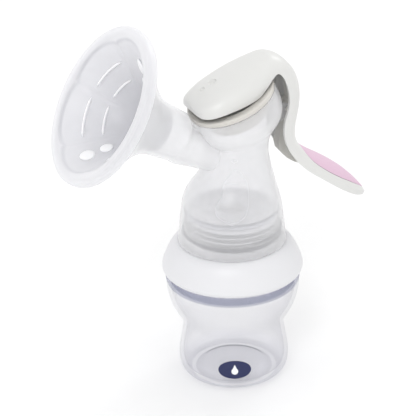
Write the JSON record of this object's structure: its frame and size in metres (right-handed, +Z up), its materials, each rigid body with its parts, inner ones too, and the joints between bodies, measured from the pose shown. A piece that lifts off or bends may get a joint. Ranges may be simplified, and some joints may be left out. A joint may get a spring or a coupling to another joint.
{
  "type": "manual breast pump",
  "caption": "Manual breast pump: funnel with soft cushion, squeeze handle with diaphragm, milky pump body, screw collar and waisted feeding bottle.",
  "frame": {"origin": "centre of the bottle's base, on the surface it stands on", "axes": "+Z up along the bottle's axis, -X towards the funnel, +X towards the squeeze handle, Y = 0 is the plane of symmetry"},
  "size_m": [0.1639, 0.0808, 0.1938],
  "materials": {
    "bottle_plastic": "clear polypropylene with a faint lavender tint",
    "badge_print": "printed navy mark",
    "seal_silicone": "translucent white silicone",
    "collar_plastic": "satin white polypropylene",
    "pump_plastic": "milky translucent polypropylene",
    "valve_silicone": "translucent white silicone",
    "cushion_silicone": "soft frosted silicone",
    "diaphragm_silicone": "soft warm-white silicone",
    "stem_plastic": "white moulding",
    "handle_plastic": "satin white ABS",
    "frame_plastic": "warm grey moulding",
    "grip_rubber": "soft-touch pink",
    "pin_plastic": "moulded pin"
  },
  "bodies": {
    "bottle": {"bottle": "bottle_plastic", "bottle_badge": "badge_print"},
    "bottle_seal": {"bottle_seal": "seal_silicone"},
    "collar": {"screw_collar": "collar_plastic"},
    "collar_gasket": {"collar_gasket": "seal_silicone"},
    "pump": {"pump_body": "pump_plastic", "hinge_pin": "pin_plastic", "massage_cushion": "cushion_silicone", "diaphragm": "diaphragm_silicone"},
    "valve": {"duckbill_valve": "valve_silicone"},
    "stem": {"diaphragm_stem": "stem_plastic", "stem_pin": "pin_plastic"},
    "handle": {"handle_shell": "handle_plastic", "handle_frame": "frame_plastic", "grip_insert": "grip_rubber"}
  },
  "joints": [
    {"name": "collar_lift", "type": "slide", "parent": "bottle", "child": "bottle_seal", "axis": [0, 0, 1], "range_m": [0, 0.0053]},
    {"name": "collar_unscrew", "type": "hinge", "parent": "bottle_seal", "child": "collar", "pos_m": [0, 0, 0.065], "axis": [0, 0, 1], "range_deg": [0, 540]},
    {"name": "pump_lift", "type": "slide", "parent": "collar", "child": "collar_gasket", "axis": [0, 0, 1], "range_m": [0, 0.0113]},
    {"name": "pump_unscrew", "type": "hinge", "parent": "collar_gasket", "child": "pump", "pos_m": [0, 0, 0.082], "axis": [0, 0, 1], "range_deg": [0, 1440]},
    {"name": "valve_pull", "type": "slide", "parent": "pump", "child": "valve", "axis": [0, 0, -1], "range_m": [0, 0.01]},
    {"name": "stem_lift", "type": "slide", "parent": "pump", "child": "stem", "axis": [-0.3665, 0, 0.9304], "range_m": [0, 0.0073], "deforming": ["diaphragm"]},
    {"name": "handle_squeeze", "type": "hinge", "parent": "pump", "child": "handle", "pos_m": [0.0294, 0, 0.1404], "axis": [0, 1, 0], "range_deg": [0, 15], "stiffness_Nm_per_rad": 1.5, "springref_deg": -1.15}
  ],
  "couplings": [
    {"joint": "collar_lift", "follows": "collar_unscrew", "m_per_rad": 0.00055704},
    {"joint": "pump_lift", "follows": "pump_unscrew", "m_per_rad": 0.00044563},
    {"joint": "stem_lift", "follows": "handle_squeeze", "m_per_rad": 0.0272}
  ]
}
